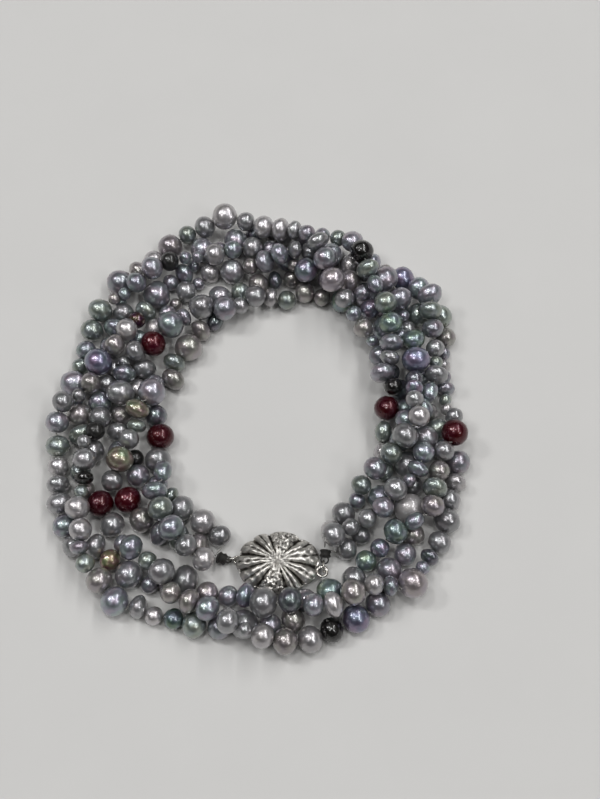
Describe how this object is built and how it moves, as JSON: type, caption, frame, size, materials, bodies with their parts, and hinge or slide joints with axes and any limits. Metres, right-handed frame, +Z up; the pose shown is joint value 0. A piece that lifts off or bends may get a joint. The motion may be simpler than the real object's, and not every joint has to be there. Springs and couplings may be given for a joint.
{
  "type": "layered pearl necklace",
  "caption": "Layered torsade necklace: strands of grey freshwater pearls twisted together, laid in two turns, bound at the ends to a cast silver flower box clasp.",
  "frame": {"origin": "on the surface that the necklace lies on, under the middle of its outline", "axes": "+Z up from the surface, +Y from the clasp across the open middle, +X to the right as the clasp is read"},
  "size_m": [0.1015, 0.1157, 0.0157],
  "materials": {
    "pearl_grey": "satin metallic nacre, silver to lavender grey",
    "pearl_pale": "satin nacre, pale grey",
    "pearl_violet": "satin metallic nacre, violet blue grey",
    "pearl_rose": "satin nacre, rose grey",
    "pearl_peacock": "satin metallic nacre, green grey",
    "pearl_black": "dyed nacre, near black",
    "pearl_wine": "dyed nacre, wine red",
    "cast_silver": "cast silver with darkened grooves, polished on the high parts",
    "silver_wire": "silver wire, worn polish",
    "black_thread": "wound black beading thread"
  },
  "bodies": {
    "root": {"strand_a_stretch_1": "pearl_grey", "strand_a_pearl_1": "pearl_wine", "strand_a_stretch_2": "pearl_grey", "strand_a_pearl_2": "pearl_grey", "strand_a_stretch_3": "pearl_grey", "strand_a_pearl_3": "pearl_grey", "strand_a_stretch_4": "pearl_grey", "strand_a_pearl_4": "pearl_rose", "strand_a_stretch_5": "pearl_grey", "strand_a_pearl_5": "pearl_grey", "strand_a_stretch_6": "pearl_grey", "strand_a_pearl_6": "pearl_violet", "strand_a_stretch_7": "pearl_grey", "strand_a_pearl_7": "pearl_grey", "strand_a_stretch_8": "pearl_grey", "strand_a_pearl_8": "pearl_wine", "strand_a_stretch_9": "pearl_grey", "strand_b_stretch_1": "pearl_grey", "strand_b_pearl_1": "pearl_black", "strand_b_stretch_2": "pearl_grey", "strand_b_pearl_2": "pearl_wine", "strand_b_stretch_3": "pearl_grey", "strand_b_pearl_3": "pearl_peacock", "strand_b_stretch_4": "pearl_grey", "strand_b_pearl_4": "pearl_wine", "strand_b_stretch_5": "pearl_grey", "strand_b_pearl_5": "pearl_peacock", "strand_b_stretch_6": "pearl_grey", "strand_b_pearl_6": "pearl_black", "strand_b_stretch_7": "pearl_grey", "strand_b_pearl_7": "pearl_rose", "strand_b_stretch_8": "pearl_grey", "strand_b_pearl_8": "pearl_rose", "strand_b_stretch_9": "pearl_grey", "strand_b_pearl_9": "pearl_grey", "strand_b_stretch_10": "pearl_grey", "strand_c_stretch_1": "pearl_grey", "strand_c_pearl_1": "pearl_wine", "strand_c_stretch_2": "pearl_grey", "strand_c_pearl_2": "pearl_grey", "strand_c_stretch_3": "pearl_grey", "strand_c_pearl_3": "pearl_violet", "strand_c_stretch_4": "pearl_grey", "strand_c_pearl_4": "pearl_pale", "strand_c_stretch_5": "pearl_grey", "strand_c_pearl_5": "pearl_violet", "strand_c_stretch_6": "pearl_grey", "strand_c_pearl_6": "pearl_wine", "strand_c_stretch_7": "pearl_grey", "strand_c_pearl_7": "pearl_black", "strand_c_stretch_8": "pearl_grey", "strand_c_pearl_8": "pearl_violet", "strand_c_stretch_9": "pearl_grey", "clasp_flower": "cast_silver", "clasp_tongue": "silver_wire", "jump_ring_left": "silver_wire", "jump_ring_right": "silver_wire", "end_binding_left": "black_thread", "end_binding_right": "black_thread"}
  },
  "joints": []
}
